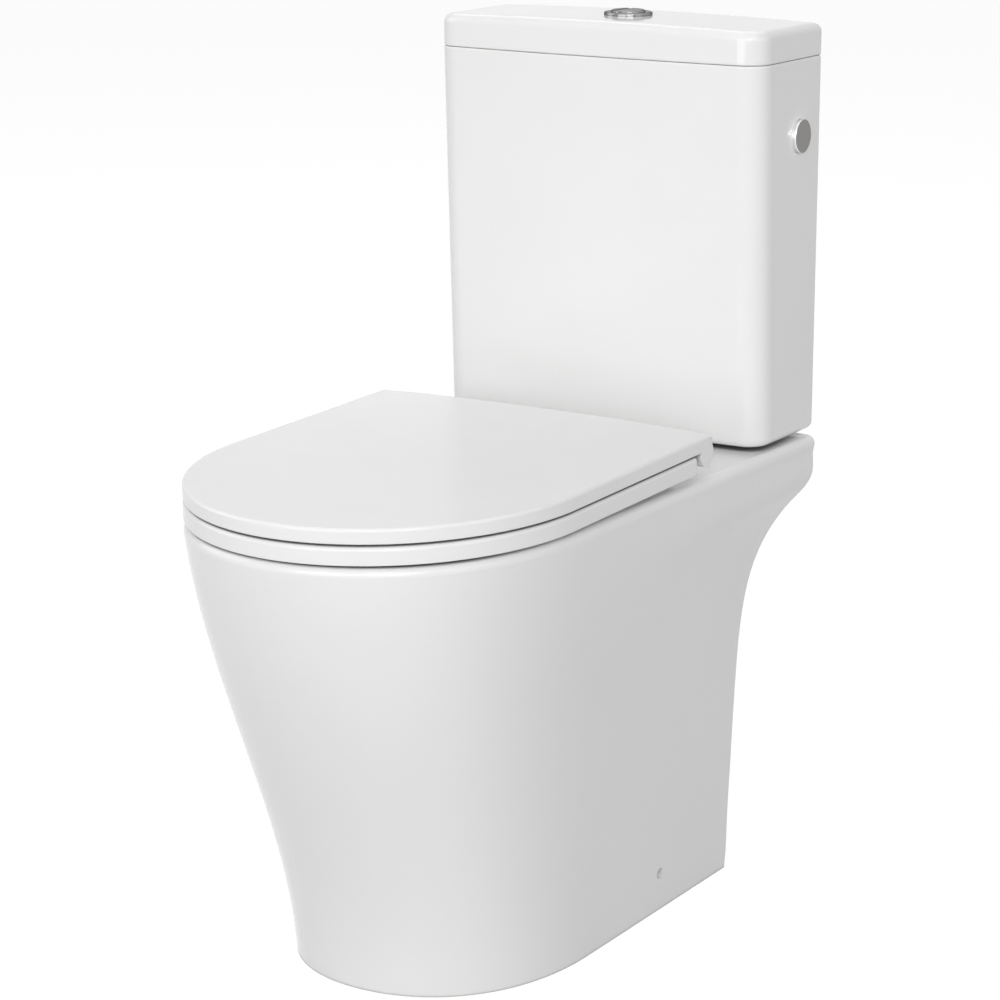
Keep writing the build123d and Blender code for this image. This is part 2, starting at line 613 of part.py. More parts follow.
# Cistern
with BuildPart() as cistern:
    loft(
        [
            cistern_outline(CISTERN_Z, CISTERN_DEPTH_LOW),
            cistern_outline(CISTERN_TOP_Z, CISTERN_DEPTH_HIGH),
        ],
        ruled=True,
    )
    fillet(cistern.faces().sort_by(Axis.Z)[0].edges(), CISTERN_FOOT_R)
    fillet(cistern.faces().sort_by(Axis.Z)[-1].edges(), CISTERN_LIP_R)
    loft(
        [
            cistern_outline(FLOOR_Z, cistern_depth(FLOOR_Z), CISTERN_WALL),
            cistern_outline(CISTERN_TOP_Z, CISTERN_DEPTH_HIGH, CISTERN_WALL),
        ],
        ruled=True,
        mode=Mode.SUBTRACT,
    )
    with BuildSketch(Plane.XY.offset(CISTERN_Z)):
        with Locations((0, VALVE_Y)):
            Circle(TAIL_R + TAIL_PLAY)
        with Locations(*BOLT_PLACES):
            Circle(BOLT_HOLE_R)
    extrude(amount=THROUGH * CISTERN_FLOOR / 2, mode=Mode.SUBTRACT)
    with Locations((0, SIDE_HOLE_Y, SIDE_HOLE_Z)):
        Cylinder(SIDE_HOLE_R, 2 * CISTERN_WIDTH, rotation=(0, 90, 0), mode=Mode.SUBTRACT)
save(cistern, "cistern")

with BuildPart() as cistern_lid:
    extrude(cistern_outline(CISTERN_TOP_Z, CISTERN_DEPTH_HIGH), amount=LID_HEIGHT)
    # The top is crowned from side to side
    with BuildSketch(FRONT_PLANE):
        with BuildLine():
            Polyline(
                (-CROWN_HALF, CROWN_Z),
                (-CROWN_HALF, CISTERN_Z),
                (CROWN_HALF, CISTERN_Z),
                (CROWN_HALF, CROWN_Z),
            )
            ThreePointArc((-CROWN_HALF, CROWN_Z), (0, LID_TOP_Z), (CROWN_HALF, CROWN_Z))
        make_face()
    extrude(amount=OVERALL_DEPTH, both=True, mode=Mode.INTERSECT)
    fillet(cistern_lid.faces().sort_by(Axis.Z)[-1].edges(), LID_EDGE_R)
    fillet(cistern_lid.faces().sort_by(Axis.Z)[0].edges(), CISTERN_LIP_R)
    # Underside: a lip that drops inside the cistern, round a hollow
    extrude(lid_inside(0), amount=LID_LIP_DEPTH + LID_EDGE_R)
    extrude(lid_inside(LID_LIP), amount=SKIN_UNDER_Z - CISTERN_TOP_Z + LID_LIP_DEPTH, mode=Mode.SUBTRACT)
    with Locations((0, VALVE_Y, LID_TOP_Z)):
        Cylinder(SLEEVE_R + BUTTON_PLAY, LID_HEIGHT, mode=Mode.SUBTRACT)
save(cistern_lid, "cistern_lid")

# Seat
with BuildPart() as seat_ring:
    extrude(seat_outline(RING_UNDER, RING_REAR, RING_CORNER_R), amount=RING_THICK)
    fillet(seat_ring.faces().sort_by(SEAT_UP)[-1].edges(), RING_EDGE_R)
    with BuildSketch(SEAT_PLANE.offset(RING_UNDER)):
        with BuildLine():
            for length, start in ((RING_HOLE_FRONT, 180), (RING_HOLE_REAR, 0)):
                EllipticalCenterArc(
                    (0, RING_HOLE_Y), RING_HOLE_HALF_WIDTH, length, start_angle=start, arc_size=180
                )
        make_face()
    extrude(amount=RING_THICK, mode=Mode.SUBTRACT)
    fillet(seat_ring.faces().sort_by(SEAT_UP)[-1].inner_wires()[0].edges(), RING_HOLE_EDGE_R)
    # Hinge knuckles behind the ring, inside the posts
    for start in (KNUCKLE_X, -KNUCKLE_X - KNUCKLE_LENGTH):
        with BuildSketch(SEAT_SIDE.offset(start)):
            Circle(HINGE_R)
            Polygon(
                (RING_REAR - RING_EDGE_R, RING_UNDER + RING_EDGE_R),
                (0, -HINGE_R),
                (0, RING_UNDER + RING_THICK),
                (RING_REAR - RING_EDGE_R, RING_UNDER + RING_THICK - RING_EDGE_R),
                align=None,
            )
        extrude(amount=KNUCKLE_LENGTH)
    with BuildSketch(HINGE_AXIS.offset(KNUCKLE_X)):
        Circle(PIVOT_R + RUN_CLEARANCE)
    extrude(amount=KNUCKLE_LENGTH, mode=Mode.SUBTRACT)
    with BuildSketch(HINGE_AXIS.offset(-KNUCKLE_X - KNUCKLE_LENGTH)):
        Circle(DAMPER_R + FIT_CLEARANCE)
    extrude(amount=SEAT_DAMPER_LENGTH, mode=Mode.SUBTRACT)
save(seat_ring, "seat_ring")

with BuildPart() as seat_cover:
    extrude(seat_outline(COVER_UNDER, COVER_REAR, COVER_CORNER_R, COVER_BOW), amount=COVER_THICK)
    fillet(seat_cover.faces().sort_by(SEAT_UP)[-1].edges(), COVER_EDGE_R)
    extrude(
        seat_outline(COVER_UNDER, -COVER_SOLID, RING_CORNER_R, inset=COVER_SKIRT),
        amount=COVER_THICK - COVER_SKIN,
        mode=Mode.SUBTRACT,
    )
    with BuildSketch(SEAT_PLANE.offset(COVER_UNDER)):
        with Locations(*band_places(COVER_PAD_Y)):
            Circle(COVER_BOSS_R)
    extrude(amount=COVER_THICK - COVER_SKIN)
    # Hinge barrels under the rear edge, cleared round the posts and the ring's knuckles
    with BuildSketch(SEAT_SIDE.offset(-SEAT_WIDTH / 2)):
        Circle(HINGE_R)
        Polygon((0, 0), (HINGE_R, 0), (COVER_REAR, COVER_UNDER + COVER_THICK - COVER_EDGE_R), align=None)
    extrude(amount=SEAT_WIDTH)
    for start in (KNUCKLE_X - KNUCKLE_GAP, -POST_OUTER_X - KNUCKLE_GAP):
        extrude(
            disc(HINGE_AXIS.offset(start), HINGE_R + BARREL_CLEARANCE),
            amount=POST_OUTER_X - KNUCKLE_X + 2 * KNUCKLE_GAP,
            mode=Mode.SUBTRACT,
        )
    extrude(
        disc(HINGE_AXIS.offset(POST_OUTER_X), DAMPER_R + FIT_CLEARANCE),
        amount=KNUCKLE_GAP + DAMPER_LENGTH,
        mode=Mode.SUBTRACT,
    )
    extrude(
        disc(HINGE_AXIS.offset(-POST_OUTER_X), PIVOT_R + RUN_CLEARANCE),
        amount=-PIN_REACH - KNUCKLE_GAP,
        mode=Mode.SUBTRACT,
    )
save(seat_cover, "seat_cover")

with BuildPart() as seat_buffers:
    with BuildSketch(Plane.XY.offset(RIM_Z + SEAT_CLEARANCE)):
        with Locations(*[(x, HINGE_Y + y) for x, y in band_places(REAR_BUFFER_Y)]):
            SlotOverall(SEAT_BUFFER_LENGTH, SEAT_BUFFER_WIDTH, rotation=90)
    extrude(amount=HINGE_Z - RIM_Z)
    split(bisect_by=SEAT_PLANE.offset(RING_UNDER), keep=Keep.BOTTOM)
save(seat_buffers, "seat_buffers")

with BuildPart() as cover_buffers:
    with BuildSketch(SEAT_PLANE.offset(RING_UNDER + RING_THICK + SEAT_CLEARANCE)):
        with Locations(*band_places(COVER_PAD_Y)):
            Circle(COVER_PAD_R)
    extrude(amount=COVER_UNDER - RING_UNDER - RING_THICK - SEAT_CLEARANCE)
save(cover_buffers, "cover_buffers")

# Hinge posts, their pivots and soft-close dampers
with BuildPart() as hinge_post_right:
    with BuildSketch(POST_SIDE):
        Circle(HINGE_R)
        Polygon(
            (-HINGE_R, RIM_Z - HINGE_Z),
            (POST_STEM_REAR, RIM_Z - HINGE_Z),
            (POST_STEM_REAR, -HINGE_R / 2),
            (-HINGE_R, 0),
            align=None,
        )
    extrude(amount=POST_WIDTH)
    with Locations((POST_X, STUD_Y, RIM_Z)):
        Cylinder(POST_FOOT_R, POST_FOOT, align=UPRIGHT)
        Cylinder(STUD_R + FIT_CLEARANCE, 2 * STUD_GRIP, mode=Mode.SUBTRACT)
    extrude(disc(POST_SIDE, PIVOT_R + FIT_CLEARANCE), amount=POST_WIDTH, mode=Mode.SUBTRACT)
save(hinge_post_right, "hinge_post_right")

with BuildPart() as hinge_post_left:
    mirror(hinge_post_right.part, about=Plane.YZ)
save(hinge_post_left, "hinge_post_left")

with BuildPart() as hinge_pins:
    extrude(disc(POST_SIDE.offset(PIVOT_GRIP), PIVOT_R), amount=-PIVOT_GRIP - KNUCKLE_LENGTH)
    extrude(disc(HINGE_AXIS.offset(PIVOT_GRIP - POST_OUTER_X), PIVOT_R), amount=-PIVOT_GRIP - PIN_REACH)
save(hinge_pins, "hinge_pins")

with BuildPart() as seat_damper_body:
    extrude(
        disc(HINGE_AXIS.offset(-KNUCKLE_X - KNUCKLE_LENGTH), DAMPER_R, PIVOT_R + RUN_CLEARANCE),
        amount=SEAT_DAMPER_LENGTH,
    )
save(seat_damper_body, "seat_damper_body")

with BuildPart() as seat_damper_rotor:
    extrude(
        disc(HINGE_AXIS.offset(-POST_INNER_X - PIVOT_GRIP), PIVOT_R),
        amount=PIVOT_GRIP + KNUCKLE_GAP + SEAT_DAMPER_LENGTH,
    )
save(seat_damper_rotor, "seat_damper_rotor")

with BuildPart() as cover_damper_body:
    extrude(
        disc(HINGE_AXIS.offset(POST_OUTER_X + KNUCKLE_GAP), DAMPER_R, PIVOT_R + RUN_CLEARANCE),
        amount=DAMPER_LENGTH,
    )
save(cover_damper_body, "cover_damper_body")

with BuildPart() as cover_damper_rotor:
    extrude(
        disc(HINGE_AXIS.offset(POST_OUTER_X - PIVOT_GRIP), PIVOT_R),
        amount=PIVOT_GRIP + KNUCKLE_GAP + DAMPER_LENGTH,
    )
save(cover_damper_rotor, "cover_damper_rotor")

# Seat fixings under the rim's rear
with BuildPart() as seat_studs:
    with BuildSketch(Plane.XY.offset(RIM_Z + STUD_GRIP)):
        with Locations(*STUD_PLACES):
            Circle(STUD_R)
    extrude(amount=-STUD_GRIP - STUD_DROP)
save(seat_studs, "seat_studs")

with BuildPart() as seat_stud_washers:
    with BuildSketch(Plane.XY.offset(DECK_UNDER_Z)):
        with Locations(*STUD_PLACES):
            Circle(STUD_WASHER_R)
            Circle(STUD_R + FIT_CLEARANCE, mode=Mode.SUBTRACT)
    extrude(amount=-WASHER)
save(seat_stud_washers, "seat_stud_washers")

with BuildPart() as seat_stud_nuts:
    with BuildSketch(Plane.XY.offset(DECK_UNDER_Z - WASHER)):
        with Locations(*STUD_PLACES):
            RegularPolygon(STUD_NUT_R, 6)
            Circle(STUD_R + FIT_CLEARANCE, mode=Mode.SUBTRACT)
    extrude(amount=-STUD_NUT)
save(seat_stud_nuts, "seat_stud_nuts")

# Push buttons
with BuildPart() as button_bezel:
    extrude(disc(VALVE_PLANE.offset(SLEEVE_Z), SLEEVE_R, BUTTON_BORE_R), amount=SLEEVE_DROP)
    extrude(disc(VALVE_PLANE.offset(SLEEVE_Z), SLEEVE_R), amount=SLEEVE_FLOOR)
    extrude(disc(VALVE_PLANE.offset(LID_TOP_Z), BEZEL_R, BUTTON_BORE_R), amount=BEZEL_RIM)
    fillet(button_bezel.edges().group_by(Axis.Z)[-1].sort_by(SortBy.LENGTH)[-1], BEZEL_RIM / 2)
    with Locations((FULL_ROD_X, VALVE_Y, SLEEVE_Z), (HALF_ROD_X, VALVE_Y, SLEEVE_Z)):
        Cylinder(ROD_R + ROD_PLAY, THROUGH * SLEEVE_FLOOR, mode=Mode.SUBTRACT)
save(button_bezel, "button_bezel")

with BuildPart() as button_nut:
    with BuildSketch(VALVE_PLANE.offset(SKIN_UNDER_Z)):
        RegularPolygon(BUTTON_NUT_R, 8)
        Circle(SLEEVE_R + FIT_CLEARANCE, mode=Mode.SUBTRACT)
    extrude(amount=-BUTTON_NUT)
save(button_nut, "button_nut")

with BuildPart() as full_flush_button:
    extrude(button_outline(1), amount=BUTTON_HEIGHT)
    fillet(full_flush_button.faces().sort_by(Axis.Z)[-1].edges(), BUTTON_EDGE_R)
save(full_flush_button, "full_flush_button")

with BuildPart() as half_flush_button:
    extrude(button_outline(-1), amount=BUTTON_HEIGHT)
    fillet(half_flush_button.faces().sort_by(Axis.Z)[-1].edges(), BUTTON_EDGE_R)
save(half_flush_button, "half_flush_button")

with BuildPart() as full_flush_rod:
    with Locations((FULL_ROD_X, VALVE_Y, ROD_END_Z)):
        Cylinder(ROD_R, BUTTON_Z - ROD_END_Z, align=UPRIGHT)
save(full_flush_rod, "full_flush_rod")

with BuildPart() as half_flush_rod:
    with Locations((HALF_ROD_X, VALVE_Y, ROD_END_Z)):
        Cylinder(ROD_R, BUTTON_Z - ROD_END_Z, align=UPRIGHT)
save(half_flush_rod, "half_flush_rod")

# Flush valve
with BuildPart() as flush_valve_washer:
    extrude(disc(VALVE_PLANE.offset(FLOOR_Z), VALVE_FLANGE_R, TAIL_R + FIT_CLEARANCE), amount=WASHER)
save(flush_valve_washer, "flush_valve_washer")

with BuildPart() as flush_valve_base:
    extrude(disc(VALVE_PLANE.offset(TAIL_END_Z), TAIL_R, TAIL_BORE_R), amount=VALVE_FLANGE_Z - TAIL_END_Z)
    extrude(disc(VALVE_PLANE.offset(VALVE_FLANGE_Z), VALVE_FLANGE_R, TAIL_BORE_R), amount=VALVE_FLANGE)
    extrude(disc(VALVE_PLANE.offset(VALVE_FLANGE_Z), VALVE_BASE_R, TAIL_BORE_R), amount=VALVE_SEAT)
    extrude(
        disc(VALVE_PLANE.offset(VALVE_FLANGE_Z), VALVE_BASE_R, VALVE_BASE_R - VALVE_WALL), amount=VALVE_BASE
    )
    with Locations((0, VALVE_Y, VALVE_SEAT_Z)):
        with PolarLocations(VALVE_BASE_R, VALVE_WINDOWS, 180 / VALVE_WINDOWS):
            Box(VALVE_WINDOW, VALVE_WINDOW, VALVE_BASE / 2, align=UPRIGHT, mode=Mode.SUBTRACT)
save(flush_valve_base, "flush_valve_base")

with BuildPart() as flush_valve_tower:
    extrude(disc(VALVE_PLANE.offset(TOWER_Z), VALVE_BASE_R, TOWER_R - VALVE_WALL), amount=TOWER_RING)
    extrude(disc(VALVE_PLANE.offset(TOWER_Z), TOWER_R, TOWER_R - VALVE_WALL), amount=HEAD_Z - TOWER_Z)
    with Locations((0, VALVE_Y, TOWER_Z + 2 * TOWER_RING)):
        with PolarLocations(TOWER_R, VALVE_WINDOWS, 180 / VALVE_WINDOWS):
            Box(
                VALVE_WINDOW,
                VALVE_WINDOW,
                HEAD_Z - TOWER_Z - 3 * TOWER_RING,
                align=UPRIGHT,
                mode=Mode.SUBTRACT,
            )
save(flush_valve_tower, "flush_valve_tower")

with BuildPart() as actuator_head:
    with BuildSketch(VALVE_PLANE.offset(HEAD_Z)):
        RectangleRounded(HEAD_WIDTH, HEAD_DEPTH, HEAD_CORNER_R)
    extrude(amount=HEAD_HEIGHT)
    fillet(actuator_head.faces().sort_by(Axis.Z)[-1].edges(), HEAD_FLOOR)
    with BuildSketch(VALVE_PLANE.offset(HEAD_Z + HEAD_FLOOR)):
        with Locations((FULL_ROD_X, 0), (HALF_ROD_X, 0)):
            Circle(ROD_R + ROD_PLAY)
    extrude(amount=HEAD_HEIGHT, mode=Mode.SUBTRACT)
save(actuator_head, "actuator_head")

with BuildPart() as overflow_tube:
    extrude(disc(VALVE_PLANE.offset(SEAL_Z + SEAL), SEAL_R, OVERFLOW_BORE_R), amount=VALVE_WALL)
    extrude(
        disc(VALVE_PLANE.offset(SEAL_Z + SEAL), OVERFLOW_R, OVERFLOW_BORE_R),
        amount=HEAD_Z - OVERFLOW_CLEAR - SEAL_Z - SEAL,
    )
save(overflow_tube, "overflow_tube")

with BuildPart() as flush_seal:
    extrude(disc(VALVE_PLANE.offset(SEAL_Z), SEAL_R, OVERFLOW_BORE_R), amount=SEAL)
save(flush_seal, "flush_seal")

with BuildPart() as flush_valve_backnut:
    with BuildSketch(VALVE_PLANE.offset(CISTERN_Z)):
        RegularPolygon(BACKNUT_R, 8)
        Circle(TAIL_R + FIT_CLEARANCE, mode=Mode.SUBTRACT)
    extrude(amount=-BACKNUT)
save(flush_valve_backnut, "flush_valve_backnut")

with BuildPart() as coupling_doughnut:
    with BuildSketch(FRONT_PLANE):
        with BuildLine():
            Polyline(
                (BACKNUT_R + DOUGHNUT_PLAY, CISTERN_Z),
                (DOUGHNUT_R, CISTERN_Z),
                (DOUGHNUT_R, CISTERN_Z - BACKNUT),
                (DOUGHNUT_TOE_R, WELL_Z),
                (TAIL_R + DOUGHNUT_PLAY, WELL_Z),
                (TAIL_R + DOUGHNUT_PLAY, CISTERN_Z - BACKNUT - DOUGHNUT_PLAY),
                (BACKNUT_R + DOUGHNUT_PLAY, CISTERN_Z - BACKNUT - DOUGHNUT_PLAY),
                close=True,
            )
        make_face()
    revolve(axis=Axis((0, VALVE_Y, 0), (0, 0, 1)))
save(coupling_doughnut, "coupling_doughnut")

# Coupling bolts
with BuildPart() as coupling_bolt_seals:
    with BuildSketch(Plane.XY.offset(FLOOR_Z)):
        with Locations(*BOLT_PLACES):
            Circle(BOLT_HEAD_R)
            Circle(BOLT_R + FIT_CLEARANCE, mode=Mode.SUBTRACT)
    extrude(amount=BOLT_SEAL)
save(coupling_bolt_seals, "coupling_bolt_seals")

with BuildPart() as coupling_bolts:
    with BuildSketch(Plane.XY.offset(FLOOR_Z + BOLT_SEAL)):
        with Locations(*BOLT_PLACES):
            Circle(BOLT_HEAD_R)
    extrude(amount=BOLT_HEAD)
    fillet(coupling_bolts.faces().group_by(Axis.Z)[-1].edges(), BOLT_HEAD / 2)
    with BuildSketch(Plane.XY.offset(FLOOR_Z + BOLT_SEAL)):
        with Locations(*BOLT_PLACES):
            Circle(BOLT_R)
    extrude(amount=DECK_UNDER_Z - BOLT_DROP - FLOOR_Z - BOLT_SEAL)
save(coupling_bolts, "coupling_bolts")

with BuildPart() as coupling_washers:
    with BuildSketch(Plane.XY.offset(DECK_UNDER_Z)):
        with Locations(*BOLT_PLACES):
            Circle(BOLT_WASHER_R)
            Circle(BOLT_R + FIT_CLEARANCE, mode=Mode.SUBTRACT)
    extrude(amount=-BOLT_WASHER)
save(coupling_washers, "coupling_washers")

with BuildPart() as wing_nuts:
    with BuildSketch(Plane.XY.offset(DECK_UNDER_Z - BOLT_WASHER)):
        with Locations(*BOLT_PLACES):
            Circle(WING_NUT_R)
            Rectangle(WING, WING_SPAN)
            Circle(BOLT_R + FIT_CLEARANCE, mode=Mode.SUBTRACT)
    extrude(amount=-WING_NUT)
save(wing_nuts, "wing_nuts")

# Fill valve in the left side hole
with BuildPart() as fill_valve_body:
    extrude(disc(TAIL_END, INLET_TAIL_R), amount=INLET_TAIL)
    extrude(disc(SIDE_AXIS.offset(FILL_FLANGE_X), INLET_SHANK_R), amount=-FILL_FLANGE_X - SIDE_X - FILL_NUT)
    extrude(disc(SIDE_AXIS.offset(FILL_FLANGE_X), FILL_FLANGE_R), amount=FILL_FLANGE)
    extrude(disc(SIDE_AXIS.offset(FILL_FLANGE_X), FILL_BODY_R), amount=FILL_BODY)
    with Locations((FILL_TUBE_X, SIDE_HOLE_Y, FILL_TUBE_Z)):
        Cylinder(FILL_PORT_R, FILL_BODY_R + FILL_PORT, align=UPRIGHT)
    with BuildSketch(ARM_PLANE):
        Circle(ARM_EAR)
        with Locations((-ARM_EAR, 0)):
            Rectangle(2 * ARM_EAR, 2 * ARM_EAR)
        Circle(ARM_PIN_R + FIT_CLEARANCE, mode=Mode.SUBTRACT)
    extrude(amount=ARM_LUG / 2, both=True)
    extrude(disc(TAIL_END, INLET_BORE_R), amount=INLET_TAIL, mode=Mode.SUBTRACT)
save(fill_valve_body, "fill_valve_body")

with BuildPart() as fill_valve_seal:
    extrude(
        disc(SIDE_AXIS.offset(-SIDE_INNER_X), FILL_FLANGE_R, INLET_SHANK_R + FIT_CLEARANCE),
        amount=FILL_SEAL,
    )
save(fill_valve_seal, "fill_valve_seal")

with BuildPart() as fill_valve_backnut:
    with BuildSketch(SIDE_AXIS.offset(-SIDE_X)):
        RegularPolygon(FILL_NUT_R, 6)
        Circle(INLET_SHANK_R + FIT_CLEARANCE, mode=Mode.SUBTRACT)
    extrude(amount=-FILL_NUT)
save(fill_valve_backnut, "fill_valve_backnut")

with BuildPart() as fill_tube:
    with BuildSketch(Plane((FILL_TUBE_X, SIDE_HOLE_Y, FILL_TUBE_Z))):
        Circle(FILL_TUBE_R)
        Circle(FILL_TUBE_R - FILL_TUBE_WALL, mode=Mode.SUBTRACT)
    extrude(amount=FLOOR_Z + FILL_TUBE_END - FILL_TUBE_Z)
save(fill_tube, "fill_tube")

with BuildPart() as float_arm:
    with BuildSketch(ARM_PLANE):
        Circle(ARM_EAR)
        with Locations((ARM_LENGTH / 2, 0)):
            Rectangle(ARM_LENGTH, ARM_DEPTH)
    extrude(amount=ARM_WIDTH / 2, both=True)
    with BuildSketch(ARM_PLANE):
        with Locations((ARM_EAR + ARM_SLOT_PLAY, 0)):
            Rectangle(ARM_LENGTH, ARM_LENGTH, align=(Align.MAX, Align.CENTER))
    extrude(amount=ARM_LUG / 2 + SEAT_CLEARANCE, both=True, mode=Mode.SUBTRACT)
    extrude(disc(ARM_PLANE, ARM_PIN_R + RUN_CLEARANCE), amount=ARM_WIDTH, both=True, mode=Mode.SUBTRACT)
save(float_arm, "float_arm")

with BuildPart() as float_pin:
    extrude(disc(ARM_PLANE, ARM_PIN_R), amount=ARM_WIDTH / 2 + ARM_PIN_PROUD, both=True)
save(float_pin, "float_pin")

with BuildPart() as float_cup:
    with Locations((ARM_X + ARM_LENGTH, SIDE_HOLE_Y, SIDE_HOLE_Z - ARM_DEPTH / 2 - FLOAT_HEIGHT)):
        Cylinder(FLOAT_R, FLOAT_HEIGHT, align=UPRIGHT)
        Cylinder(FLOAT_R - FLOAT_WALL, FLOAT_HEIGHT - FLOAT_WALL, align=UPRIGHT, mode=Mode.SUBTRACT)
save(float_cup, "float_cup")

# Cap in the right side hole
with BuildPart() as side_cap:
    extrude(disc(SIDE_AXIS.offset(SIDE_X), CAP_R), amount=CAP)
    fillet(side_cap.edges().group_by(Axis.X)[-1], CAP_EDGE_R)
    extrude(
        disc(SIDE_AXIS.offset(SIDE_X), CAP_STEM_R),
        amount=-CISTERN_WALL - FILL_SEAL - CAP_NUT,
    )
save(side_cap, "side_cap")

with BuildPart() as side_cap_seal:
    extrude(
        disc(SIDE_AXIS.offset(SIDE_INNER_X), CAP_NUT_R, CAP_STEM_R + FIT_CLEARANCE),
        amount=-FILL_SEAL,
    )
save(side_cap_seal, "side_cap_seal")

with BuildPart() as side_cap_nut:
    with BuildSketch(SIDE_AXIS.offset(SIDE_INNER_X - FILL_SEAL)):
        RegularPolygon(CAP_NUT_R, 6)
        Circle(CAP_STEM_R + FIT_CLEARANCE, mode=Mode.SUBTRACT)
    extrude(amount=-CAP_NUT)
save(side_cap_nut, "side_cap_nut")
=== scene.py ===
"""Looks of the close coupled toilet: glazed ceramic, a moulded seat, chrome buttons and plain fittings.

Metres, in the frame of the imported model: +Z up, +Y towards the wall, +X to the right.
"""

import json
from math import pi

import bpy
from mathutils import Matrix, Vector


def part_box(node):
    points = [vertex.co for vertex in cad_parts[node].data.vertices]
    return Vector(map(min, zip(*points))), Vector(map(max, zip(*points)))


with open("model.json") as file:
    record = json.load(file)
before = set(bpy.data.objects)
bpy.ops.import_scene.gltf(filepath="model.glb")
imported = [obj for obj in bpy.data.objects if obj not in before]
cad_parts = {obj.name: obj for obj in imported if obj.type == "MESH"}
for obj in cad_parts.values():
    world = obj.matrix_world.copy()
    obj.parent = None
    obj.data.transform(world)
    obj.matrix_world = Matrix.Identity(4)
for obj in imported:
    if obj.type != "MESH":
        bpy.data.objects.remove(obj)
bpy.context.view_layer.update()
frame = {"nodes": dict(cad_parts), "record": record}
NODES = frame["nodes"]

# Camera, at the photograph's viewing angle
CAMERA_PLACE = Vector((1.4731, -2.4301, 1.1076))
CAMERA_AIM = Vector((0.0, -0.0954, 0.3962))
CAMERA_LENS = 111.53
SENSOR_WIDTH = 36.0

# Lamps: soft discs of one size, each with its place and power
AIM = Vector((0.0, -0.1, 0.4))
LAMP_SIZE = 4.0
LAMPS = {
    "left": (Vector((-4.6, -1.8, 2.6)), 51.0),
    "top": (Vector((0.0, -0.3, 5.2)), 32.0),
    "rear": (Vector((-2.0, 3.2, 4.4)), 50.0),
    "right": (Vector((4.8, -0.8, 2.6)), 28.0),
    "front_low": (Vector((0.0, -5.4, 1.4)), 98.0),
    "front_right": (Vector((3.4, -4.2, 2.6)), 128.0),
}
AMBIENT = 0.28
FLOOR_SIZE = 120.0
FLOOR_GLOW = 0.93
FLOOR_ALBEDO = 0.12
FLOOR_BOUNCE = 0.46

# Surface detail, in metres: soft edges, the foot's bare band, gaps, the side cap's rim and threads
CERAMIC_EDGE = 0.0014
SEAT_EDGE = 0.0010
METAL_EDGE = 0.0004
FOOT_BAND = 0.0012
# Surface detail, in metres: soft edges, the foot's bare band, the reach of the painted shade in gaps,
# the side cap's rim and threads
PAINTED_SHADE_REACH = 0.007
CAP_RIM = 0.0004
CAP_RIM_BLUR = 0.0001
BOLT_PITCH = 0.00125
BOLT_HEAD = 0.0055
TAIL_PITCH = 0.0018
TAIL_START = -0.177

# Shares: how dark the painted shade in a closed gap is and how open a gap is where that painted shade
# starts and ends, and darker flecks
PAINTED_SHADE_DARK = 0.12
PAINTED_SHADE_CLOSED = 0.15
PAINTED_SHADE_OPEN = 0.60
PAINTED_SHADE_SAMPLES = 8
METAL_FLECK = 0.94
PLASTIC_FLECK = 0.92
THREAD_DEPTH = 1 / 3
BAND_LENGTH = pi / 10  # of one band of a wave texture at scale 1

# Colours and finishes that are used more than once
WHITE = (1.0, 1.0, 1.0, 1.0)
BARE_CLAY = (0.78, 0.77, 0.74, 1.0)
WHITE_PLASTIC = (0.80, 0.80, 0.78)
STEEL = {"level": 0.66, "warmth": 0.004, "rough": (0.2, 0.38), "grain": 300.0, "depth": 0.00002}


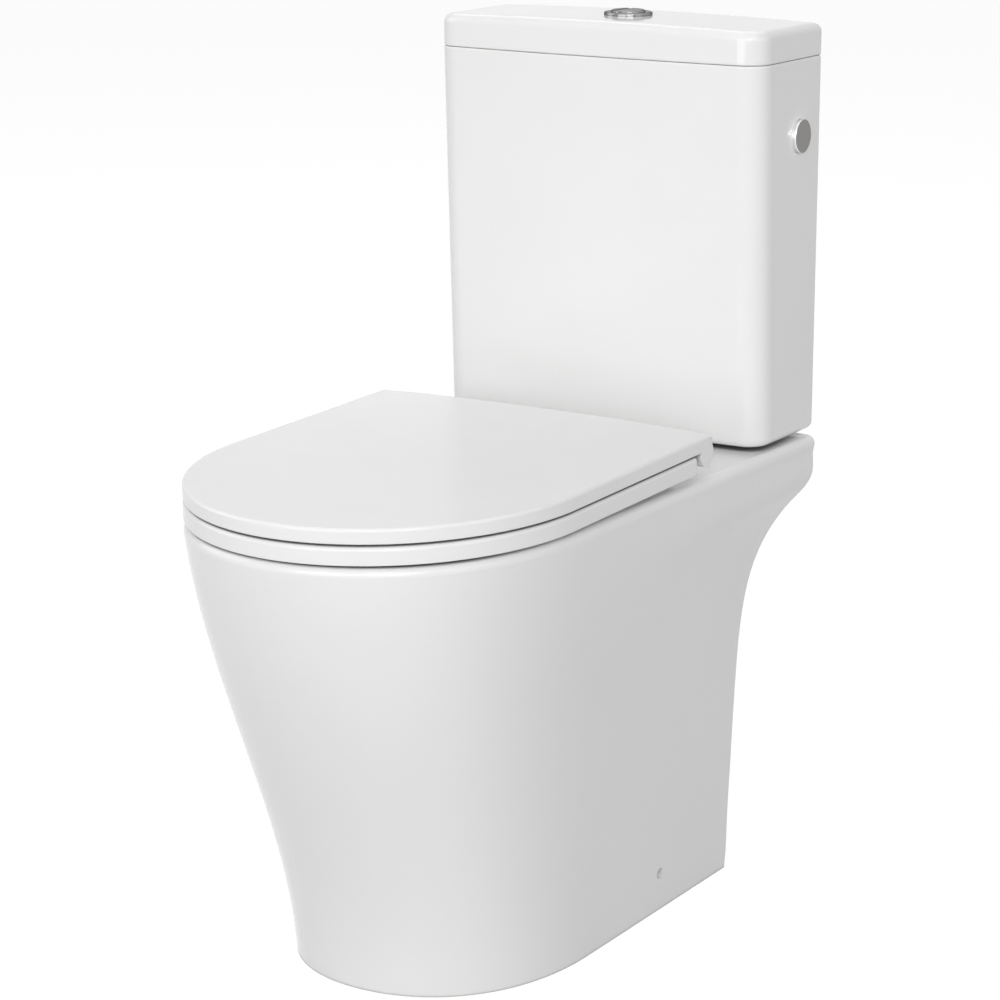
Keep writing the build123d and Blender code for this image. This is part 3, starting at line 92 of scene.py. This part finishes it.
class Material:
    """A node material: a principled surface with textures linked to its sockets."""

    def __init__(self, name):
        self.material = bpy.data.materials.new(name)
        self.material.use_nodes = True
        self.tree = self.material.node_tree
        self.surface = self.tree.nodes["Principled BSDF"]
        self.place = self.add("ShaderNodeTexCoord").outputs["Object"]

    def add(self, kind, **values):
        """Adds a node and sets the inputs that are named in values."""
        node = self.tree.nodes.new(kind)
        for key, value in values.items():
            node.inputs[key].default_value = value
        return node

    def link(self, source, target):
        self.tree.links.new(source, target)

    def set(self, **values):
        """Sets sockets of the surface; underscores stand for spaces."""
        for key, value in values.items():
            self.surface.inputs[key.replace("_", " ")].default_value = value

    def noise(self, scale, detail=3.0):
        """Noise of a scale, in features per metre."""
        node = self.add("ShaderNodeTexNoise", Scale=scale, Detail=detail)
        self.link(self.place, node.inputs["Vector"])
        return node.outputs["Fac"]

    def ramp(self, factor, low, high, start=0.3, end=0.7):
        """Colour or grey between low and high, as factor goes from start to end."""
        node = self.add("ShaderNodeValToRGB")
        for element, place, colour in zip(node.color_ramp.elements, (start, end), (low, high)):
            element.position = place
            element.color = colour
        self.link(factor, node.inputs["Fac"])
        return node.outputs["Color"]

    def spread(self, factor, low, high):
        """A number between low and high, as factor goes from 0 to 1."""
        node = self.add("ShaderNodeMapRange", **{"To Min": low, "To Max": high})
        self.link(factor, node.inputs["Value"])
        return node.outputs["Result"]

    def mix(self, share, first, second):
        """The first colour, replaced by the fixed second one as share goes from 0 to 1."""
        node = self.add("ShaderNodeMixRGB", Color2=second)
        self.link(share, node.inputs["Fac"])
        self.link(first, node.inputs["Color1"])
        return node.outputs["Color"]

    def paint(self, colour):
        self.link(colour, self.surface.inputs["Base Color"])

    def roughness(self, factor, low, high):
        self.link(self.spread(factor, low, high), self.surface.inputs["Roughness"])

    def soften(self, radius):
        """Rounds the shading of sharp edges; comes before any bump."""
        node = self.add("ShaderNodeBevel", Radius=radius)
        self.link(node.outputs["Normal"], self.surface.inputs["Normal"])

    def below(self, axis, limit, blur=0.0005):
        """1 where a coordinate is below a limit, 0 above it."""
        split = self.add("ShaderNodeSeparateXYZ")
        self.link(self.place, split.inputs["Vector"])
        share = self.add("ShaderNodeMapRange", **{"From Min": limit + blur, "From Max": limit - blur})
        self.link(split.outputs[axis], share.inputs["Value"])
        return share.outputs["Result"]

    def paint_shade_in_gaps(self):
        """Painted shade: darkens the base colour in narrow gaps and creases, where little of the
        surroundings is open.
        """
        near = self.add("ShaderNodeAmbientOcclusion", Distance=PAINTED_SHADE_REACH)
        near.samples = PAINTED_SHADE_SAMPLES
        painted_shade_colour = self.ramp(near.outputs["AO"], grey(PAINTED_SHADE_DARK), WHITE, PAINTED_SHADE_CLOSED, PAINTED_SHADE_OPEN)
        shade = self.add("ShaderNodeMixRGB", Fac=1.0)
        shade.blend_type = "MULTIPLY"
        self.link(self.surface.inputs["Base Color"].links[0].from_socket, shade.inputs["Color1"])
        self.link(painted_shade_colour, shade.inputs["Color2"])
        self.paint(shade.outputs["Color"])

    def combine(self, operation, first, second):
        node = self.add("ShaderNodeMath")
        node.operation = operation
        self.link(first, node.inputs[0])
        self.link(second, node.inputs[1])
        return node.outputs["Value"]

    def thread(self, axis, pitch, limit):
        """Screw thread as a bump: bands across an axis, where the coordinate is below a limit."""
        bands = self.add("ShaderNodeTexWave", Scale=BAND_LENGTH / pitch)
        bands.bands_direction = axis
        self.link(self.place, bands.inputs["Vector"])
        height = self.combine("MULTIPLY", bands.outputs["Fac"], self.below(axis, limit))
        self.bump(height, pitch * THREAD_DEPTH)

    def bump(self, height, depth):
        """Bump of a depth in metres; a second call adds its bump to the first."""
        node = self.add("ShaderNodeBump", Strength=1.0, Distance=depth)
        self.link(height, node.inputs["Height"])
        normal = self.surface.inputs["Normal"]
        if normal.links:
            self.link(normal.links[0].from_socket, node.inputs["Normal"])
        self.link(node.outputs["Normal"], normal)


def grey(level, warmth=0.0):
    """A grey, a little warmer where warmth is above nothing."""
    return (level + warmth, level, level - warmth, 1.0)


def glazed_ceramic():
    """White glaze: slow waves in the surface, faint tint, a fine skin and a bare foot."""
    m = Material("glazed_ceramic")
    m.soften(CERAMIC_EDGE)
    foot = m.below("Z", FOOT_BAND)
    glaze = m.ramp(m.noise(5.0), grey(0.855, 0.002), grey(0.875, 0.001))
    m.paint(m.mix(foot, glaze, BARE_CLAY))
    # painted shade: the glaze's colour is darkened in gaps and creases
    m.paint_shade_in_gaps()
    gloss = m.spread(m.noise(9.0), 0.06, 0.12)
    m.link(m.combine("MAXIMUM", gloss, foot), m.surface.inputs["Roughness"])
    m.bump(m.noise(7.0, detail=1.0), 0.0003)
    m.bump(m.noise(420.0, detail=1.0), 0.00001)
    m.set(IOR=1.5)
    return m.material


def seat_plastic():
    """Hard moulded plastic with a polished skin."""
    m = Material("seat_plastic")
    m.soften(SEAT_EDGE)
    m.paint(m.ramp(m.noise(4.0), grey(0.855), grey(0.870)))
    # painted shade: the seat's colour is darkened in gaps and creases
    m.paint_shade_in_gaps()
    m.roughness(m.noise(30.0, detail=5.0), 0.16, 0.24)
    m.bump(m.noise(900.0, detail=2.0), 0.000008)
    m.set(IOR=1.5)
    return m.material


def metal(name, level, warmth, rough, grain, depth, edge=0.8, pitch=None, limit=0.0):
    """Plain metal with a fine grain; with a pitch, threaded where z is below the limit."""
    m = Material(name)
    m.soften(METAL_EDGE)
    m.paint(m.ramp(m.noise(grain / 4), grey(level * METAL_FLECK, warmth), grey(level, warmth)))
    m.roughness(m.noise(grain, detail=4.0), *rough)
    m.bump(m.noise(grain, detail=4.0), depth)
    if pitch:
        m.thread("Z", pitch, limit)
    m.set(Metallic=1.0, Specular_Tint=grey(edge))
    return m.material


def turned_metal():
    """Satin metal, turned on a lathe: fine rings round the side cap's axis, and a polished rim."""
    m = Material("turned_metal")
    m.soften(METAL_EDGE)
    low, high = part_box("side_cap")
    centre = (low + high) / 2
    mapping = m.add("ShaderNodeMapping", Location=(0.0, -centre.y, -centre.z))
    m.link(m.place, mapping.inputs["Vector"])
    rings = m.add("ShaderNodeTexWave", Scale=700.0, Distortion=1.5, Detail=3.0)
    rings.wave_type = "RINGS"
    rings.rings_direction = "X"
    m.link(mapping.outputs["Vector"], rings.inputs["Vector"])
    rim = m.below("X", high.x - CAP_RIM, CAP_RIM_BLUR)
    satin = m.ramp(rings.outputs["Fac"], grey(0.27, 0.005), grey(0.36, 0.005), 0.1, 0.9)
    m.paint(m.mix(rim, satin, grey(0.90)))
    m.roughness(rings.outputs["Fac"], 0.24, 0.36)
    m.bump(rings.outputs["Fac"], 0.00002)
    m.set(Metallic=1.0, Anisotropic=0.5, Specular_Tint=grey(0.35))
    return m.material


def plastic(name, colour, rough=(0.3, 0.45), thread_start=None):
    """Moulded plastic with a fine mould grain; threaded along x below thread_start."""
    m = Material(name)
    darker = tuple(PLASTIC_FLECK * c for c in colour)
    m.paint(m.ramp(m.noise(40.0), (*darker, 1.0), (*colour, 1.0)))
    m.roughness(m.noise(150.0, detail=4.0), *rough)
    m.bump(m.noise(1800.0, detail=2.0), 0.00003)
    if thread_start is not None:
        m.thread("X", TAIL_PITCH, thread_start)
    return m.material


def rubber(name, level, rough=(0.6, 0.8)):
    """Matt rubber with a dusty bloom."""
    m = Material(name)
    m.paint(m.ramp(m.noise(60.0, detail=5.0), grey(level), grey(level * 1.25 + 0.01)))
    m.roughness(m.noise(200.0), *rough)
    m.bump(m.noise(2500.0, detail=3.0), 0.00004)
    return m.material


def materials_by_slot():
    return {
        "ceramic": glazed_ceramic(),
        "seat": seat_plastic(),
        "chrome": metal("polished_chrome", 0.28, 0.0, (0.03, 0.07), 60.0, 0.000004, 0.32),
        "nickel": turned_metal(),
        "hinge_metal": metal("cast_hinge", 0.60, 0.0, (0.25, 0.4), 500.0, 0.00003),
        "zinc_steel": metal("zinc_steel", **STEEL),
        "white_plastic": plastic("white_plastic", WHITE_PLASTIC),
        "grey_plastic": plastic("grey_plastic", (0.30, 0.32, 0.34)),
        "blue_plastic": plastic("blue_plastic", (0.05, 0.16, 0.36)),
        "black_rubber": rubber("black_rubber", 0.02),
        "soft_rubber": rubber("soft_rubber", 0.62, (0.45, 0.6)),
    }


def threaded_nodes():
    """Materials of the nodes that carry a screw thread."""
    head_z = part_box("coupling_bolts")[1].z - BOLT_HEAD
    stud_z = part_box("seat_studs")[1].z
    return {
        "coupling_bolts": metal("threaded_bolt", **STEEL, pitch=BOLT_PITCH, limit=head_z),
        "seat_studs": metal("threaded_stud", **STEEL, pitch=BOLT_PITCH, limit=stud_z),
        "fill_valve_body": plastic("threaded_tail", WHITE_PLASTIC, thread_start=TAIL_START),
    }


def finish_nodes():
    """Gives each CAD node the material of its slot, or its own where it is threaded."""
    by_slot = materials_by_slot()
    by_node = threaded_nodes()
    for part in frame["record"]["subparts"]:
        name = part["node"]
        materials = NODES[name].data.materials
        materials.clear()
        materials.append(by_node.get(name, by_slot[part["material_slot"]]))


def look_at(thing, target):
    thing.rotation_mode = "QUATERNION"
    thing.rotation_quaternion = (target - thing.location).to_track_quat("-Z", "Y")


def add_object(name, data, place):
    thing = bpy.data.objects.new(name, data)
    thing.location = place
    bpy.context.scene.collection.objects.link(thing)
    return thing


def make_camera():
    data = bpy.data.cameras.new("camera")
    data.lens = CAMERA_LENS
    data.sensor_width = SENSOR_WIDTH
    camera = add_object("camera", data, CAMERA_PLACE)
    look_at(camera, CAMERA_AIM)
    bpy.context.scene.camera = camera


def make_lamp(name, place, power):
    data = bpy.data.lights.new(name, "AREA")
    data.shape = "DISK"
    data.size = LAMP_SIZE
    data.energy = power
    look_at(add_object(name, data, place), AIM)


def seen_directly(tree):
    """1 for rays that show the background: from the camera, and by mirror or glass."""
    path = tree.nodes.new("ShaderNodeLightPath")
    total = path.outputs["Is Camera Ray"]
    for name in ("Is Glossy Ray", "Is Transmission Ray"):
        either = tree.nodes.new("ShaderNodeMath")
        either.operation = "MAXIMUM"
        tree.links.new(total, either.inputs[0])
        tree.links.new(path.outputs[name], either.inputs[1])
        total = either.outputs[0]
    return total


def make_world():
    """White to the eye and to mirrors, dimmer as a lamp."""
    world = bpy.data.worlds.new("studio")
    bpy.context.scene.world = world
    world.use_nodes = True
    tree = world.node_tree
    background = tree.nodes["Background"]
    background.inputs["Color"].default_value = WHITE
    strength = tree.nodes.new("ShaderNodeMapRange")
    strength.inputs["To Min"].default_value = AMBIENT
    strength.inputs["To Max"].default_value = 1.0
    tree.links.new(seen_directly(tree), strength.inputs["Value"])
    tree.links.new(strength.outputs["Result"], background.inputs["Strength"])


def make_floor():
    """A pale floor that reads as white and keeps the object's shadow."""
    half = FLOOR_SIZE / 2
    mesh = bpy.data.meshes.new("floor")
    corners = [(-half, -half, 0.0), (half, -half, 0.0), (half, half, 0.0), (-half, half, 0.0)]
    mesh.from_pydata(corners, [], [(0, 1, 2, 3)])
    floor = add_object("floor", mesh, (0.0, 0.0, 0.0))
    material = bpy.data.materials.new("pale_floor")
    material.use_nodes = True
    tree = material.node_tree
    tree.nodes.clear()
    shadowed = tree.nodes.new("ShaderNodeBsdfDiffuse")
    shadowed.inputs["Color"].default_value = grey(FLOOR_ALBEDO)
    glow = tree.nodes.new("ShaderNodeEmission")
    glow.inputs["Strength"].default_value = FLOOR_GLOW
    shown = tree.nodes.new("ShaderNodeAddShader")
    tree.links.new(shadowed.outputs[0], shown.inputs[0])
    tree.links.new(glow.outputs[0], shown.inputs[1])
    bounce = tree.nodes.new("ShaderNodeBsdfDiffuse")
    bounce.inputs["Color"].default_value = grey(FLOOR_BOUNCE)
    choice = tree.nodes.new("ShaderNodeMixShader")
    tree.links.new(seen_directly(tree), choice.inputs["Fac"])
    tree.links.new(bounce.outputs[0], choice.inputs[1])
    tree.links.new(shown.outputs[0], choice.inputs[2])
    output = tree.nodes.new("ShaderNodeOutputMaterial")
    tree.links.new(choice.outputs[0], output.inputs["Surface"])
    mesh.materials.append(material)


bpy.context.scene.view_settings.view_transform = "Standard"
finish_nodes()
make_camera()
for name, (place, power) in LAMPS.items():
    make_lamp(name, place, power)
make_world()
make_floor()
